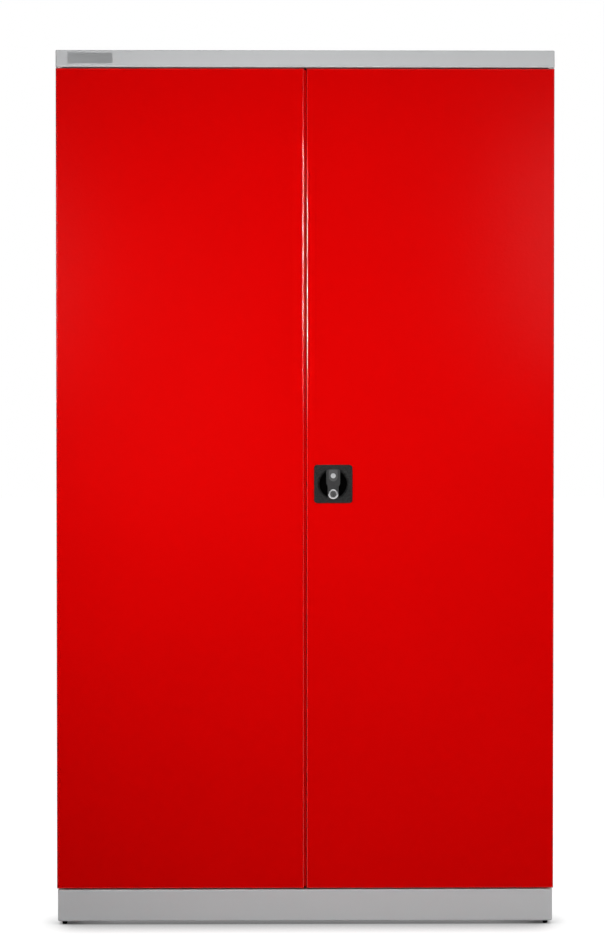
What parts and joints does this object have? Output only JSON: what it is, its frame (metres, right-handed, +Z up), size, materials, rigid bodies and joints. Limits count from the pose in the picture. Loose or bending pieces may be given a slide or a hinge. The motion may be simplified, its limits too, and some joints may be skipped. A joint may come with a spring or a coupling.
{
  "type": "tool cabinet with doors",
  "caption": "Tall two-door steel tool cabinet with adjustable-height shelves, overlay doors on corner pivots and a recessed turning handle that works a rod lock.",
  "frame": {"origin": "on the floor under the middle of the cabinet's whole depth, handle included", "axes": "+X to the viewer's right, the doors face -Y, +Z up"},
  "size_m": [1, 0.5076, 1.757],
  "materials": {
    "grey_paint": "fine textured light grey powder coat",
    "red_paint": "gloss red powder coat with orange peel",
    "zinc": "bright zinc plate",
    "black_plastic": "fine grained moulded black",
    "grey_plastic": "satin dark grey",
    "chrome": "polished",
    "lock_metal": "dark nickel",
    "white_nylon": "natural nylon",
    "rubber": "soft black",
    "plain_aluminium": "satin, blank"
  },
  "bodies": {
    "carcass": {"left_side_panel": "grey_paint", "right_side_panel": "grey_paint", "back_panel": "grey_paint", "top_cap": "grey_paint", "plinth": "grey_paint", "floor_panel": "grey_paint", "base_gussets": "grey_paint", "front_left_foot": "black_plastic", "front_right_foot": "black_plastic", "rear_left_foot": "black_plastic", "rear_right_foot": "black_plastic", "hinge_brackets": "zinc", "hinge_pins": "zinc", "lower_hinge_washers": "white_nylon", "door_stops": "grey_paint", "door_buffers": "rubber", "top_strike": "zinc", "bottom_strike": "zinc", "back_rivets": "zinc", "blank_plate": "plain_aluminium", "left_front_upright": "zinc", "left_rear_upright": "zinc", "right_front_upright": "zinc", "right_rear_upright": "zinc", "shelf_1": "grey_paint", "shelf_2": "grey_paint", "shelf_3": "grey_paint", "shelf_4": "grey_paint", "shelf_clips": "zinc"},
    "left_door": {"left_door_pan": "red_paint", "left_stiffener": "red_paint", "left_hinge_plates": "red_paint", "left_upper_washer": "white_nylon", "meeting_strip": "red_paint"},
    "right_door": {"right_door_pan": "red_paint", "right_stiffener": "red_paint", "right_hinge_plates": "red_paint", "right_upper_washer": "white_nylon", "escutcheon": "black_plastic", "lock_case": "zinc", "case_cover": "zinc", "lock_screws": "zinc", "rod_guides": "white_nylon"},
    "handle": {"handle_bar": "black_plastic", "handle_inlay": "grey_plastic", "handle_stud": "chrome", "lock_bezel": "chrome", "lock_barrel": "lock_metal", "spindle": "zinc", "pinion": "zinc", "latch_cam": "zinc", "cam_screw": "zinc"},
    "key_plug": {"key_plug": "lock_metal", "lock_pawl": "zinc"},
    "upper_rod": {"upper_rod": "zinc", "upper_rack": "zinc"},
    "lower_rod": {"lower_rod": "zinc", "lower_rack": "zinc"}
  },
  "joints": [
    {"name": "left_door_swing", "type": "hinge", "parent": "carcass", "child": "left_door", "pos_m": [-0.492, -0.2362, 0.073], "axis": [0, 0, -1], "range_deg": [0, 110]},
    {"name": "right_door_swing", "type": "hinge", "parent": "carcass", "child": "right_door", "pos_m": [0.492, -0.2362, 0.073], "axis": [0, 0, 1], "range_deg": [0, 110]},
    {"name": "handle_turn", "type": "hinge", "parent": "right_door", "child": "handle", "pos_m": [0.056, -0.2462, 0.888], "axis": [0, 1, 0], "range_deg": [0, 90]},
    {"name": "key_turn", "type": "hinge", "parent": "handle", "child": "key_plug", "pos_m": [0.056, -0.2462, 0.8675], "axis": [0, 1, 0], "range_deg": [0, 90]},
    {"name": "upper_rod_slide", "type": "slide", "parent": "right_door", "child": "upper_rod", "axis": [0, 0, 1], "range_m": [0, 0.0126]},
    {"name": "lower_rod_slide", "type": "slide", "parent": "right_door", "child": "lower_rod", "axis": [0, 0, -1], "range_m": [0, 0.0126]}
  ],
  "couplings": [
    {"joint": "upper_rod_slide", "follows": "handle_turn", "m_per_rad": 0.008},
    {"joint": "lower_rod_slide", "follows": "handle_turn", "m_per_rad": 0.008}
  ]
}
